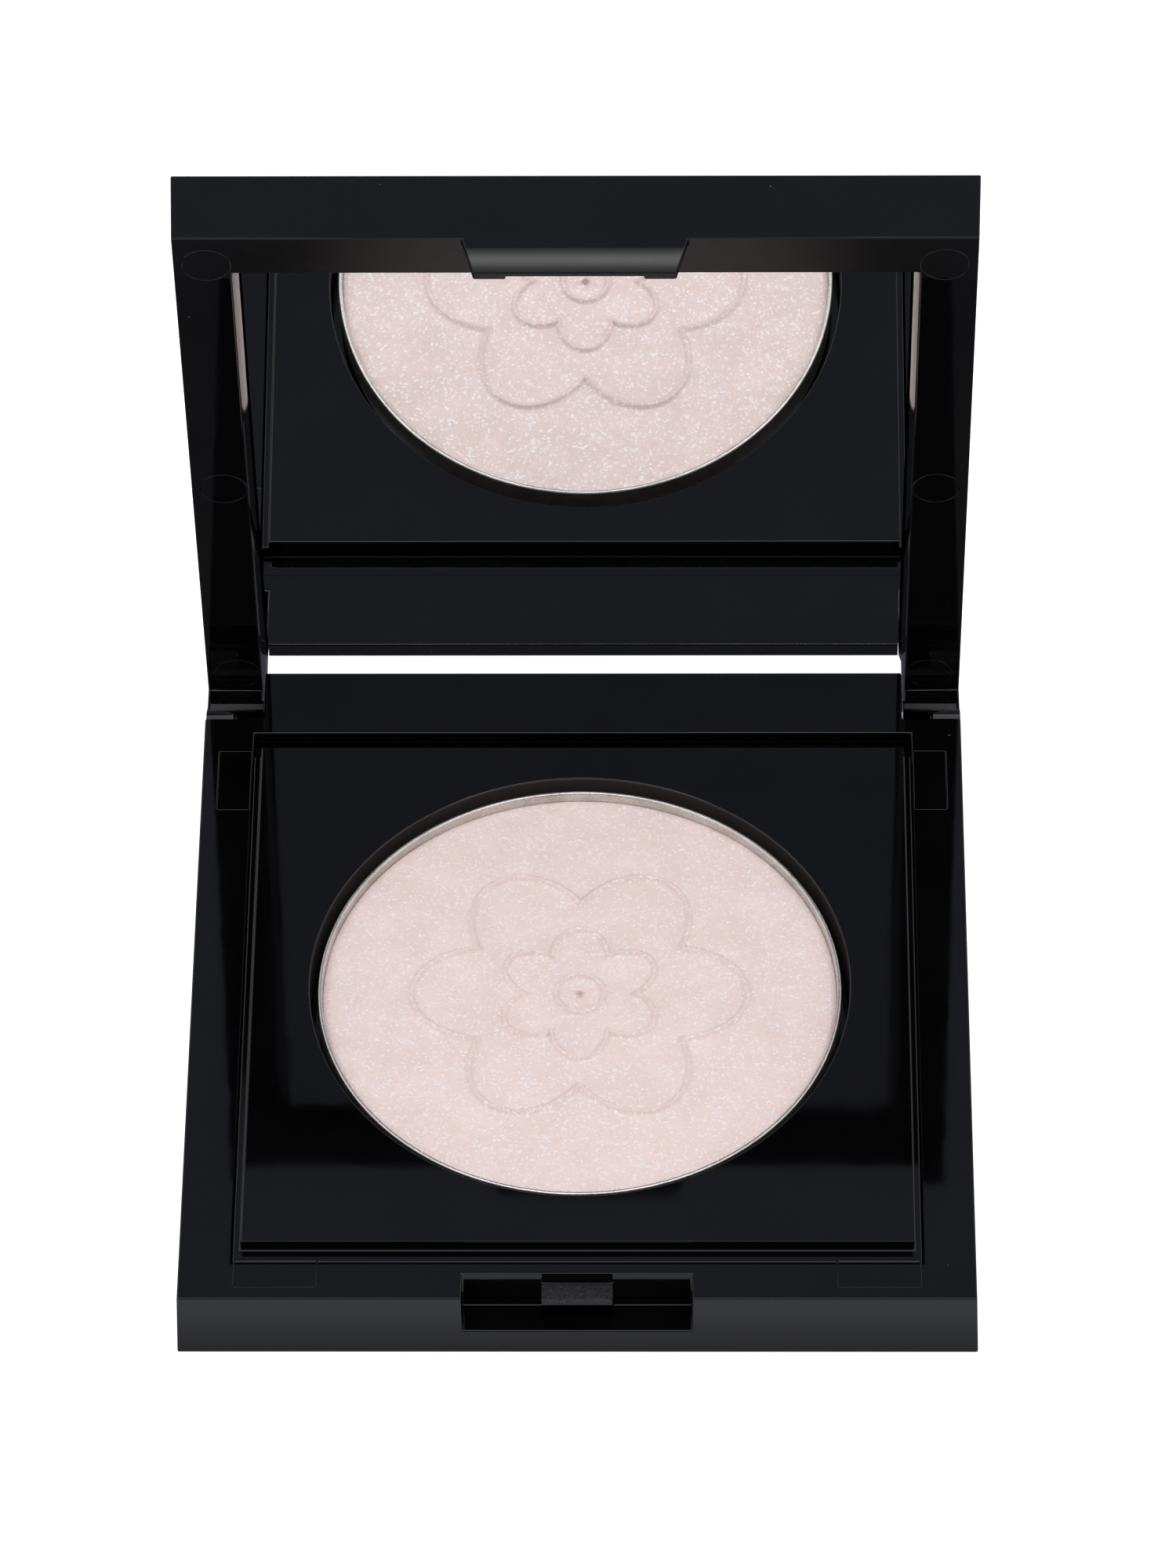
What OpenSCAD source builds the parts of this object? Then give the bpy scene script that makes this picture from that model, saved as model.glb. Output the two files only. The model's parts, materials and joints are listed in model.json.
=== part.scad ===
// Square powder compact with a mirrored lid, drawn with the lid standing open.
// The origin is the centre of the face that the base stands on; the latch faces -Y.
// Both shells are drawn as they sit when closed, and the lid is then turned open.

/* [Case] */
// Width of both shells at the parting line
case_w = 55; // [44:0.5:70]
// Depth of the closed case, from the front to the back of the hinge bar
case_d = 57.6; // [50:0.2:72]
// Height of the base, from its underside to the parting line
base_h = 5.8; // [5.2:0.1:8]
// Thickness of the lid, from the parting line to its outer face
lid_h = 5.3; // [4.8:0.1:8]
// How much wider each side is at the outer face than at the parting line
draft = 0.2; // [0:0.05:0.4]
// Slit between the two rims when the case is closed
rim_gap = 0.1; // [0.05:0.05:0.3]
// Thickness of the floor of the base
floor_t = 1.3; // [1:0.1:1.6]

/* [Hinge] */
// Angle between the two rims as the lid stands
lid_open = 83; // [60:1:92]
// Distance of the hinge axis from the back of the case
hinge_setback = 2.9; // [2.6:0.05:2.9]
// Distance of the hinge axis below the top of the base
hinge_drop = 2.85; // [2.6:0.05:2.9]
// Radius of the front of each lid leg, about the hinge axis
leg_r = 1.4; // [1.2:0.05:1.7]
// Distance of a leg's flat front face from the hinge axis, above that round front
leg_front = 0.7; // [0:0.05:1]
// Rounding of the lower back corner of a leg, which turns just above the table
leg_heel = 1.1; // [0.6:0.1:1.3]
// Width of each hinge corner, from the side of the case to the hinge bar
leg_w = 4.25; // [3.6:0.05:6]
// Gap between a lid leg and the hinge bar or the base's corner
leg_gap = 0.15; // [0.1:0.05:0.3]
// Radius of a hinge pin
pin_r = 0.6; // [0.45:0.05:0.8]
// Length of a hinge pin
pin_len = 10; // [7:0.5:12]
// Distance of a pin's outer end inside the side of the lid
pin_inset = 0.3; // [0.1:0.1:1]
// Running clearance of a pin in the hinge bar
pin_clear = 0.03; // [0.01:0.01:0.08]
// Distance of the front of the hinge bar in front of the legs' corners
bar_front = 1.45; // [1:0.05:2]
// How far the back wall of the lid leans in towards its outer edge
back_lean = 0.3; // [0.1:0.05:0.6]

/* [Tray] */
// Height of the raised deck above the rim of the base
deck_rise = 0.95; // [0.5:0.05:1.5]
// Distance of the deck's edge from the sides of the case
deck_side = 4.25; // [4:0.05:8]
// Distance of the deck's edge from the front of the case
deck_front = 4.25; // [4:0.05:8]
// Width of the flange beside the deck
flange_side = 0.55; // [0.3:0.05:1]
// Width of the flange in front of the deck
flange_front = 1.1; // [0.5:0.05:1.6]
// Width of the ledge behind the deck
ledge_back = 2.1; // [1:0.1:4]
// Distance of that ledge below the top of the base
ledge_drop = 1.1; // [0.8:0.1:1.6]
// Gap between the tray and the pocket of the base
tray_gap = 0.06; // [0.02:0.01:0.15]
// Thickness of the tray's deck, skirt and cup
tray_t = 1; // [0.8:0.1:1.2]

/* [Powder] */
// Radius of the powder pan
pan_r = 18.5; // [12:0.5:18.5]
// Height of the powder pan
pan_h = 3.5; // [2.6:0.1:3.6]
// Thickness of the pan's wall and floor
pan_t = 0.3; // [0.2:0.05:0.6]
// Distance of the pan's rim below the deck
pan_sink = 0.05; // [0:0.05:0.5]
// Distance of the powder below the pan's rim
powder_sink = 0.3; // [0.1:0.05:0.8]
// Gap that the well leaves all round the pan
well_gap = 0.6; // [0.3:0.05:0.8]
// How far the pan sits towards the front of its well
pan_forward = 0.5; // [0:0.05:0.55]
// Distance of the middle of the well from the front of the case
well_y = 27.4; // [24:0.05:34]
// Radius of the adhesive pad under the pan
pad_r = 9; // [4:0.5:12]
// Thickness of that pad
pad_t = 0.1; // [0.05:0.05:0.2]

/* [Mirror] */
// Width of the lid's border at the sides, at the parting line
border_side = 3.95; // [3.6:0.05:6]
// Width of the lid's border at the front
border_front = 3.9; // [3.4:0.05:6]
// How much the mirror's recess narrows on each side towards the glass
recess_draft = 0.5; // [0:0.05:0.6]
// Depth of the mirror's face behind the parting line
mirror_depth = 1.5; // [1.2:0.1:1.8]
// Thickness of the glass
glass_t = 1; // [0.7:0.1:1.2]
// Gap between the edge of the glass and its recess
glass_gap = 0.05; // [0.02:0.01:0.2]
// Distance of the glass's lower edge from the hinge axis
mirror_to_hinge = 2.9; // [2.6:0.1:6]
// Thickness of the foam pad behind the glass
foam_t = 1; // [0.5:0.1:1.1]
// Distance of the pad's edge inside the edge of the glass
foam_margin = 3; // [1:0.5:8]
// How far the lid's outer plate runs past the glass towards the hinge
plate_past_glass = 2.6; // [1:0.1:2.8]
// Thickness of that plate's edge
plate_edge = 0.9; // [0.6:0.1:1.2]

/* [Latch] */
// Width of the latch tab where it leaves the lid
tab_root = 15.4; // [8:0.2:24]
// Width of the latch tab at its tip
tab_tip = 13.8; // [7:0.2:22]
// Length of the tab below the parting line
tab_len = 3; // [2.6:0.05:3.2]
// Thickness of the middle of the tab
tab_t = 0.4; // [0.35:0.05:0.45]
// Thickness of the tab's feet
foot_t = 0.7; // [0.6:0.05:1.8]
// Width of each foot at the tip
foot_w = 2.2; // [1.5:0.1:3]
// Gap between the tab and the sides of its notch
notch_gap = 0.25; // [0.15:0.05:0.5]
// Depth of the notch from the front of the base
notch_depth = 2.2; // [2.15:0.05:2.6]
// Gap between the tip of the tab and the floor of its notch
notch_floor_gap = 0.6; // [0.2:0.05:0.7]
// Width of the catch in the notch
catch_w = 4.9; // [3:0.1:7]
// Distance of the catch's top below the parting line
catch_drop = 1; // [0.7:0.05:1]
// Thickness of the catch
catch_t = 0.7; // [0.5:0.05:0.7]
// How far the catch stands out of the back of the notch
catch_out = 1.5; // [1.3:0.05:1.5]
// Gap between the tab's bead and the catch, which the real bead closes by bending
bead_gap = 0.08; // [0.06:0.01:0.12]
// Distance of the bead's middle below the lid's rim
bead_drop = 2.25; // [2.2:0.05:2.5]
// Radius of the bead
bead_r = 0.25; // [0.2:0.05:0.25]

/* [Label] */
// Radius of the blank label under the base
label_r = 17; // [10:0.5:20]
// Thickness of the label, which lies flush in a recess
label_t = 0.1; // [0.05:0.05:0.3]
// Gap between the label and the side of its recess
label_gap = 0.15; // [0.05:0.05:0.5]

/* [Hidden] */
$fn = 96;

// A cut reaches this far past the face that it opens
over = 1;
half_w = case_w / 2;
front_y = -case_d / 2;
back_y = case_d / 2;
hinge_y = back_y - hinge_setback;
hinge_z = base_h - hinge_drop;
lid_z = base_h + rim_gap;
lid_top = lid_z + lid_h;

// Hinge bar, lid legs and the corners that the legs turn in
bar_half = half_w - leg_w;
leg_in = bar_half + leg_gap;
corner_y = hinge_y - leg_r - leg_gap;
leg_back = back_y - hinge_y;

// Deck, its flange and the pocket that they sit in
deck_half = half_w - deck_side;
deck_front_y = front_y + deck_front;
flange_half = deck_half + flange_side;
flange_front_y = deck_front_y - flange_front;
deck_z = base_h + deck_rise;
pocket_half = flange_half + tray_gap;
pocket_front_y = flange_front_y - tray_gap;
bar_front_y = corner_y - bar_front;
tray_back_y = bar_front_y - tray_gap;
deck_back_y = tray_back_y - ledge_back;

// Well and pan
well_r = pan_r + well_gap;
well_cy = front_y + well_y;
pan_cy = well_cy - pan_forward;
pan_top = deck_z - pan_sink;
pan_z = pan_top - pan_h;
well_floor_z = pan_z - pad_t;

// Mirror
recess_half = half_w - border_side;
glass_half = recess_half - recess_draft - glass_gap;
recess_front_y = front_y + border_front;
glass_front_y = recess_front_y + glass_gap;
glass_back_y = hinge_y - mirror_to_hinge;
glass_z = lid_z + mirror_depth;
plate_z = glass_z + glass_t + foam_t;
plate_back_y = glass_back_y + plate_past_glass;

// Latch
notch_half = tab_root / 2 + notch_gap;
notch_z = lid_z - tab_len - notch_floor_gap;
catch_top = base_h - catch_drop;
catch_y = front_y + notch_depth - catch_out;
// The bead's middle, behind the front of the tab
bead_y = catch_y - bead_gap - bead_r;

// Moves what is drawn closed to where it sits with the lid open.
module opened() {
    translate([0, hinge_y, hinge_z])
        rotate([-lid_open, 0, 0])
            translate([0, -hinge_y, -hinge_z])
                children();
}

// A box between two corners.
module block(low, high) {
    translate(low) cube(high - low);
}

// Extrudes an outline drawn in Y and Z along X, over both halves of the given width.
module along_x(width) {
    translate([-width / 2, 0, 0])
        rotate([90, 0, 90])
            linear_extrude(width)
                children();
}

// Extrudes an outline drawn in X and Z along Y, past both ends of the case.
module along_y() {
    translate([0, case_d, 0])
        rotate([90, 0, 0])
            linear_extrude(case_d * 2)
                children();
}

// A shell's outer block: z0 is the parting line and z1 is the outer face, which
// is wider by the draft. The back wall moves by back_move towards the outer face.
module drafted_block(z0, z1, back_move) {
    intersection() {
        along_y()
            polygon([[-half_w, z0], [half_w, z0], [half_w + draft, z1], [-half_w - draft, z1]]);
        along_x(case_w * 2)
            polygon([[front_y, z0], [back_y, z0], [back_y + back_move, z1], [front_y - draft, z1]]);
    }
}

// A bore or a pin along X, from x0 to x1, on the hinge axis.
module hinge_rod(x0, x1, r) {
    translate([x0, hinge_y, hinge_z])
        rotate([0, 90, 0])
            cylinder(r = r, h = x1 - x0);
}

module base_shell() {
    color([0.07, 0.07, 0.08]) {
        difference() {
            drafted_block(base_h, 0, 0);
            // Corners that the lid's legs turn in
            for (side = [-1, 1])
                translate([side * (bar_half + case_w / 2), corner_y + case_d / 2, base_h / 2])
                    cube([case_w, case_d, base_h * 2], center = true);
            // Pocket for the tray
            block([-pocket_half, pocket_front_y, floor_t],
                  [pocket_half, bar_front_y, base_h + over]);
            // Notch for the latch tab
            block([-notch_half, front_y - over, notch_z],
                  [notch_half, front_y + notch_depth, base_h + over]);
            // Bores for the hinge pins
            for (side = [0, 1])
                mirror([side, 0, 0])
                    hinge_rod(half_w - pin_inset - pin_len - over / 2, half_w, pin_r + pin_clear);
            // Recess for the label
            translate([0, 0, -over]) cylinder(r = label_r + label_gap, h = over + label_t);
        }
        // Catch for the latch tab
        block([-catch_w / 2, catch_y, catch_top - catch_t],
              [catch_w / 2, front_y + notch_depth, catch_top]);
    }
}

module pan_tray() {
    color([0.08, 0.08, 0.09])
    difference() {
        union() {
            // Flange, flush with the rim
            block([-flange_half, flange_front_y, floor_t], [flange_half, deck_back_y, base_h]);
            // Ledge behind the deck
            block([-flange_half, deck_back_y - over, floor_t],
                  [flange_half, tray_back_y, base_h - ledge_drop]);
            // Raised deck
            block([-deck_half, deck_front_y, base_h - over], [deck_half, deck_back_y, deck_z]);
        }
        // Well for the pan
        translate([0, well_cy, well_floor_z]) cylinder(r = well_r, h = pan_h + over);
        // Hollow underneath, around the cup of the well
        difference() {
            block([-flange_half + tray_t, flange_front_y + tray_t, floor_t - over],
                  [flange_half - tray_t, tray_back_y - tray_t, base_h - ledge_drop - tray_t]);
            translate([0, well_cy, well_floor_z - tray_t])
                cylinder(r = well_r + tray_t, h = pan_h + over);
        }
    }
}

module pan_adhesive() {
    color([0.9, 0.9, 0.86])
    translate([0, pan_cy, well_floor_z]) cylinder(r = pad_r, h = pad_t);
}

module powder_pan() {
    color([0.8, 0.8, 0.8])
    translate([0, pan_cy, pan_z])
    difference() {
        cylinder(r = pan_r, h = pan_h);
        translate([0, 0, pan_t]) cylinder(r = pan_r - pan_t, h = pan_h);
    }
}

module powder_cake() {
    color([0.9, 0.84, 0.82])
    translate([0, pan_cy, pan_z + pan_t])
        cylinder(r = pan_r - pan_t, h = pan_h - pan_t - powder_sink);
}

module base_label() {
    color([0.9, 0.9, 0.9])
    cylinder(r = label_r, h = label_t);
}

// Outline of a leg in Y and Z, with the hinge axis at its origin.
module leg_outline() {
    circle(r = leg_r);
    translate([leg_back - leg_heel, leg_heel - leg_r]) circle(r = leg_heel);
    translate([-leg_front, 0]) square([leg_front + leg_back, hinge_drop + rim_gap + over]);
    translate([0, -leg_r]) square([leg_back - leg_heel, leg_r + over]);
    translate([leg_back - leg_heel, leg_heel - leg_r]) square([leg_heel, leg_r]);
}

// The tab's outline in X and Z, from its root in the rim to its tip.
module tab_outline() {
    polygon([[-tab_root / 2, over], [-tab_root / 2, 0], [-tab_tip / 2, -tab_len],
             [tab_tip / 2, -tab_len], [tab_root / 2, 0], [tab_root / 2, over]]);
}

module latch_tab() {
    translate([0, front_y, lid_z])
    difference() {
        translate([0, foot_t, 0])
            rotate([90, 0, 0]) linear_extrude(foot_t) tab_outline();
        // The middle is thinner than the feet
        block([-tab_tip / 2 + foot_w, tab_t, -tab_len - over],
              [tab_tip / 2 - foot_w, foot_t + over, 0]);
    }
    // Bead that snaps under the catch
    translate([0, bead_y, lid_z - bead_drop])
        rotate([0, 90, 0])
            cylinder(r = bead_r, h = catch_w, center = true);
}

module lid_closed() {
    difference() {
        union() {
            drafted_block(lid_z, lid_top, -back_lean);
            latch_tab();
            // Legs at the back corners
            intersection() {
                drafted_block(lid_z, -lid_z, 0);
                for (side = [-1, 1])
                    translate([side * (leg_in + (half_w + draft)) / 2, hinge_y, hinge_z])
                        along_x(half_w + draft - leg_in) leg_outline();
            }
        }
        // Mirror's recess, narrower towards the glass
        intersection() {
            along_y()
                polygon([[-recess_half, lid_z - over], [recess_half, lid_z - over],
                         [recess_half, lid_z],
                         [recess_half - recess_draft, glass_z],
                         [recess_half - recess_draft, plate_z],
                         [-recess_half + recess_draft, plate_z],
                         [-recess_half + recess_draft, glass_z],
                         [-recess_half, lid_z]]);
            block([-case_w, recess_front_y, lid_z - over], [case_w, back_y + over, lid_top]);
        }
        // Room for the hinge bar, with the plate's lower edge sloping back from the glass
        along_x(leg_in * 2)
            polygon([[glass_back_y, lid_z - over], [back_y + over, lid_z - over],
                     [back_y + over, lid_top + over], [plate_back_y, lid_top + over],
                     [plate_back_y, lid_top - plate_edge], [glass_back_y, plate_z],
                     [glass_back_y, lid_z]]);
        // Bores for the hinge pins, which are pressed in
        for (side = [0, 1])
            mirror([side, 0, 0])
                hinge_rod(leg_in - over, half_w + over, pin_r);
    }
}

module lid_shell() {
    color([0.07, 0.07, 0.08]) opened() lid_closed();
}

module mirror_adhesive() {
    color([0.85, 0.85, 0.82])
    opened()
        block([-glass_half + foam_margin, glass_front_y + foam_margin, plate_z - foam_t],
              [glass_half - foam_margin, glass_back_y - foam_margin, plate_z]);
}

module mirror_glass() {
    color([0.75, 0.8, 0.85])
    opened()
        block([-glass_half, glass_front_y, glass_z],
              [glass_half, glass_back_y, glass_z + glass_t]);
}

module hinge_pin() {
    color([0.7, 0.7, 0.72])
    hinge_rod(half_w - pin_inset - pin_len, half_w - pin_inset, pin_r);
}

module hinge_pin_left() {
    mirror([1, 0, 0]) hinge_pin();
}

module hinge_pin_right() {
    hinge_pin();
}

base_shell();
pan_tray();
pan_adhesive();
powder_pan();
powder_cake();
base_label();
lid_shell();
mirror_adhesive();
mirror_glass();
hinge_pin_left();
hinge_pin_right();
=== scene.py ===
"""Looks of a square powder compact with a mirrored lid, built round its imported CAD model.

Everything is in metres in the CAD model's frame: +X to the right, +Y from the latch to the hinge,
+Z up, with the origin on the underside of the base. The lid stands open at rest.
"""

import json
import logging
import math
from dataclasses import dataclass
from enum import Enum
from typing import Any, Sequence

import bmesh
import bpy
import numpy as np
from mathutils import Matrix, Vector

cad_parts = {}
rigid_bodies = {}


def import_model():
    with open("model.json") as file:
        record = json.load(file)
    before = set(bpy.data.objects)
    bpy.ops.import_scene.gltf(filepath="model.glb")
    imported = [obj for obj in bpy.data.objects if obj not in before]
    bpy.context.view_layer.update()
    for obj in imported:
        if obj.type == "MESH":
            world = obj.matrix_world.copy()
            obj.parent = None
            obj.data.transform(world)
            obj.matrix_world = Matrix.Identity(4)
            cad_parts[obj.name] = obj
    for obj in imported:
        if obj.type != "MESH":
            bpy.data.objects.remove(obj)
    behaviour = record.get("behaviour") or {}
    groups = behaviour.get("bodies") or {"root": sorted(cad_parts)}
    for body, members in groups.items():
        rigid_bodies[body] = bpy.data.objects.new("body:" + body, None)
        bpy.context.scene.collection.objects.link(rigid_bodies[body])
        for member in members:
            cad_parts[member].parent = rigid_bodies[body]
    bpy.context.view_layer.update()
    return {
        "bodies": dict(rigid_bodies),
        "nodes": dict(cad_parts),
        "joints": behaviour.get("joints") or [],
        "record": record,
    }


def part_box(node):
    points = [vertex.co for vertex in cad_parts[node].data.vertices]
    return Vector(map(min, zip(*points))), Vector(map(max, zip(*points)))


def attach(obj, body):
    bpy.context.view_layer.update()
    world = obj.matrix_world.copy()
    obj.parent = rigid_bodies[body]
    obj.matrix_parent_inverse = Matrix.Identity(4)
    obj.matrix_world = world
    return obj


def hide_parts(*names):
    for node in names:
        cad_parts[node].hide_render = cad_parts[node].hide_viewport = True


LOG = logging.getLogger("compact")
MM = 0.001
Colour = tuple[float, float, float]
Point = tuple[float, float, float]


class Side(Enum):
    """The two sides of the case, by the sign of X."""

    LEFT = -1
    RIGHT = 1


class Socket:
    """A number in a shader: sums of these add the Math nodes that work them out."""

    def __init__(self, shader: "Shader", link: Any) -> None:
        """Wraps a node's output socket."""
        self.shader = shader
        self.link = link

    def _maths(self, operation: str, *values: Any) -> "Socket":
        """Adds one Math node on this value and others."""
        inputs = dict(enumerate([self, *values]))
        return self.shader.node("ShaderNodeMath", {"operation": operation}, inputs)

    def __add__(self, other: Any) -> "Socket":
        """This plus the other."""
        return self._maths("ADD", other)

    def __sub__(self, other: Any) -> "Socket":
        """This minus the other."""
        return self._maths("SUBTRACT", other)

    def __rsub__(self, other: Any) -> "Socket":
        """The other minus this."""
        inputs = {0: other, 1: self}
        return self.shader.node("ShaderNodeMath", {"operation": "SUBTRACT"}, inputs)

    def __mul__(self, other: Any) -> "Socket":
        """This times the other."""
        return self._maths("MULTIPLY", other)

    def __gt__(self, other: Any) -> "Socket":
        """1 where this is greater than the other, else 0."""
        return self._maths("GREATER_THAN", other)

    def __lt__(self, other: Any) -> "Socket":
        """1 where this is less than the other, else 0."""
        return self._maths("LESS_THAN", other)

    def __abs__(self) -> "Socket":
        """This without its sign."""
        return self._maths("ABSOLUTE")

    __radd__ = __add__
    __rmul__ = __mul__


class Shader:
    """An emptied node tree, whose pattern is worked out in one kind of coordinates."""

    def __init__(self, owner: Any, coordinates: str) -> None:
        """Empties the owner's node tree.

        Args:
            owner: A material or a world.
            coordinates: The Texture Coordinate output to work in.
        """
        owner.use_nodes = True
        self.tree = owner.node_tree
        self.tree.nodes.clear()
        self.coords = self.node("ShaderNodeTexCoord", {}, {}, coordinates)

    def _fill(self, target: Any, value: Any) -> None:
        """Links a value to an input, or sets the input to it.

        Args:
            target: The input socket.
            value: A Socket, a colour, a vector or a number.
        """
        if isinstance(value, Socket):
            self.tree.links.new(value.link, target)
        elif isinstance(value, (tuple, list)) and target.type == "RGBA":
            target.default_value = (*value[:3], 1)
        else:
            target.default_value = value

    def node(
        self, kind: str, settings: dict[str, Any], inputs: dict[Any, Any], out: Any = 0
    ) -> Socket:
        """Adds any node.

        Args:
            kind: The node's type name.
            settings: Its own properties, set first.
            inputs: Values or links for its sockets, by name or by number.
            out: Name or number of the output that is wanted.
        Returns:
            That output.
        """
        node = self.tree.nodes.new(kind)
        for key, value in settings.items():
            setattr(node, key, value)
        for key, value in inputs.items():
            self._fill(node.inputs[key], value)
        return Socket(self, node.outputs[out])

    def between(self, value: Socket, low: float, high: float) -> Socket:
        """0 where the value is below low, 1 above high and a straight slope between."""
        inputs = {"Value": value, "From Min": low, "From Max": high}
        return self.node("ShaderNodeMapRange", {"clamp": True}, inputs)

    def blend(self, share: Any, first: Any, second: Any) -> Socket:
        """Mixes two colours by a share from 0, the first, to 1, the second."""
        settings = {"data_type": "RGBA", "clamp_factor": True}
        return self.node("ShaderNodeMix", settings, {0: share, 6: first, 7: second}, 2)

    def axes(self) -> tuple[Socket, Socket, Socket]:
        """X, Y and Z of the coordinates."""
        split = self.node("ShaderNodeSeparateXYZ", {}, {0: self.coords}).link.node
        return tuple(Socket(self, split.outputs[k]) for k in range(3))


class Finish(Shader):
    """A new material with a Principled shader, whose pattern is in Object coordinates."""

    def __init__(self, name: str) -> None:
        """Makes the material of that name, its shader and its output."""
        self.material = bpy.data.materials.new(name)
        super().__init__(self.material, "Object")
        self.surface = self.tree.nodes.new("ShaderNodeBsdfPrincipled")
        output = self.tree.nodes.new("ShaderNodeOutputMaterial")
        self.tree.links.new(self.surface.outputs[0], output.inputs[0])

    def noise(self, scale: float, detail: float = 2.0, roughness: float = 0.5) -> Socket:
        """Cloudy noise.

        Args:
            scale: Cells to the metre.
            detail: How many finer layers are laid on it.
            roughness: How strong each finer layer is.
        Returns:
            The noise, about 0.5 in the middle.
        """
        inputs = {
            "Vector": self.coords, "Scale": scale, "Detail": detail, "Roughness": roughness,
        }
        return self.node("ShaderNodeTexNoise", {}, inputs)

    def cells(self, scale: float, out: str = "Color") -> Socket:
        """Random cells, with the given number to the metre."""
        return self.node("ShaderNodeTexVoronoi", {}, {"Vector": self.coords, "Scale": scale}, out)

    def inside(self, low: Sequence[float], high: Sequence[float]) -> Socket:
        """Marks out a box.

        Args:
            low: Its corner with the lower coordinates.
            high: Its other corner.
        Returns:
            1 inside, else 0.
        """
        mask: Any = 1.0
        for axis, start, end in zip(self.axes(), low, high):
            mask = (axis > start) * (axis < end) * mask
        return mask

    def bump(
        self, height: Socket, distance: float, strength: float = 1.0, under: Socket | None = None
    ) -> Socket:
        """Adds a Bump node.

        Args:
            height: The relief.
            distance: How high a relief of 1 stands, in metres.
            strength: How much of it shows.
            under: Another bump that this one lies on.
        Returns:
            The normal.
        """
        inputs = {"Height": height, "Distance": distance, "Strength": strength}
        if under is not None:
            inputs["Normal"] = under
        return self.node("ShaderNodeBump", {}, inputs)

    def set(self, **inputs: Any) -> bpy.types.Material:
        """Sets the shader's sockets.

        Args:
            inputs: A value for each, with underscores for the spaces in its name.
        Returns:
            The material.
        """
        for name, value in inputs.items():
            self._fill(self.surface.inputs[name.replace("_", " ")], value)
        return self.material


@dataclass(frozen=True)
class Patch:
    """A box inside which a moulding isn't polished and takes its own colour: eroded or ground, or
    a painted reflection.
    """

    low: Sequence[float]
    high: Sequence[float]
    colour: Colour
    roughness: float = 0.4
    grain: float = 0.0


@dataclass(frozen=True)
class TipCurve:
    """Where a thin tongue's outer face starts to curve down towards its tip, and how fast.

    With s the distance past the start along the direction, the surface falls by bend * s * s.
    """

    low: Sequence[float]
    high: Sequence[float]
    start: Sequence[float]
    direction: Sequence[float]
    bend: float = 86.0


@dataclass(frozen=True)
class PianoBlack:
    """Polished black moulding, with a faint ripple, fine dust and patches that are left matt, some
    painted with a reflection.
    """

    name: str
    colour: Colour = (0.0008, 0.0008, 0.001)
    worn: Colour = (0.0014, 0.0014, 0.0017)
    dust: Colour = (0.12, 0.115, 0.12)
    cloud_scale: float = 140
    dust_scale: float = 900
    dust_rarity: float = 0.965
    dust_size: float = 0.05
    dust_roughness: float = 0.4
    polish: float = 0.04
    ripple_scale: float = 260
    ripple: float = 0.000008
    grain_scale: float = 5200
    grain_height: float = 0.0004
    patches: tuple[Patch, ...] = ()
    tip: TipCurve | None = None

    def material(self) -> bpy.types.Material:
        """Builds the material."""
        shader = Finish(self.name)
        cloud = shader.noise(self.cloud_scale, 4.0)
        speck = shader.node("ShaderNodeSeparateColor", {}, {0: shader.cells(self.dust_scale)})
        near = shader.cells(self.dust_scale, "Distance")
        dust = (speck > self.dust_rarity) * (near < self.dust_size)
        colour = shader.blend(shader.between(cloud, 0.35, 0.7), self.colour, self.worn)
        colour = shader.blend(dust, colour, self.dust)
        roughness = shader.between(cloud, 0.3, 0.8) * self.polish + self.polish
        roughness = roughness + dust * self.dust_roughness
        normal = shader.bump(shader.noise(self.ripple_scale, 1.0), self.ripple)
        for patch in self.patches:
            matt = shader.inside(patch.low, patch.high)
            grain = shader.noise(self.grain_scale, 3.0, 0.75)
            share = shader.between(grain, 0.35, 0.7) * patch.grain
            colour = shader.blend(matt, colour, shader.blend(share, patch.colour, self.colour))
            roughness = roughness + matt * patch.roughness
            if patch.grain:
                height = self.grain_height * patch.grain
                normal = shader.bump(grain * matt, height, under=normal)
        if self.tip is not None:
            normal = shader.bump(self.fall(shader, self.tip), 1.0, under=normal)
        return shader.set(
            Base_Color=colour, Roughness=roughness, Normal=normal, IOR=1.4, Specular_IOR_Level=0.5
        )

    @staticmethod
    def fall(shader: Finish, tip: TipCurve) -> Socket:
        """Height of the curve at a tongue's tip.

        Args:
            shader: The material that it is for.
            tip: Where the curve is.
        Returns:
            -bend * s * s inside the tip's box, in metres, and 0 outside.
        """
        _, y, z = shader.axes()
        along_y, along_z = tip.direction[1], tip.direction[2]
        past = (y - tip.start[1]) * along_y + (z - tip.start[2]) * along_z
        past = past * (past > 0.0)
        return past * past * -tip.bend * shader.inside(tip.low, tip.high)


@dataclass(frozen=True)
class SatinAluminium:
    """Pressed aluminium with a fine grain."""

    name: str = "satin_aluminium"
    light: Colour = (0.78, 0.76, 0.73)
    dark: Colour = (0.5, 0.48, 0.46)
    grain_scale: float = 5200
    cloud_scale: float = 400
    grain_height: float = 0.00002

    def material(self) -> bpy.types.Material:
        """Builds the material."""
        shader = Finish(self.name)
        grain = shader.noise(self.grain_scale, 3.0, 0.7)
        cloud = shader.noise(self.cloud_scale, 2.0)
        share = shader.between(grain * 0.6 + cloud * 0.4, 0.35, 0.65)
        return shader.set(
            Base_Color=shader.blend(share, self.dark, self.light),
            Metallic=1.0,
            Roughness=shader.between(grain, 0.3, 0.7) * 0.2 + 0.26,
            Normal=shader.bump(grain, self.grain_height),
        )


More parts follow.
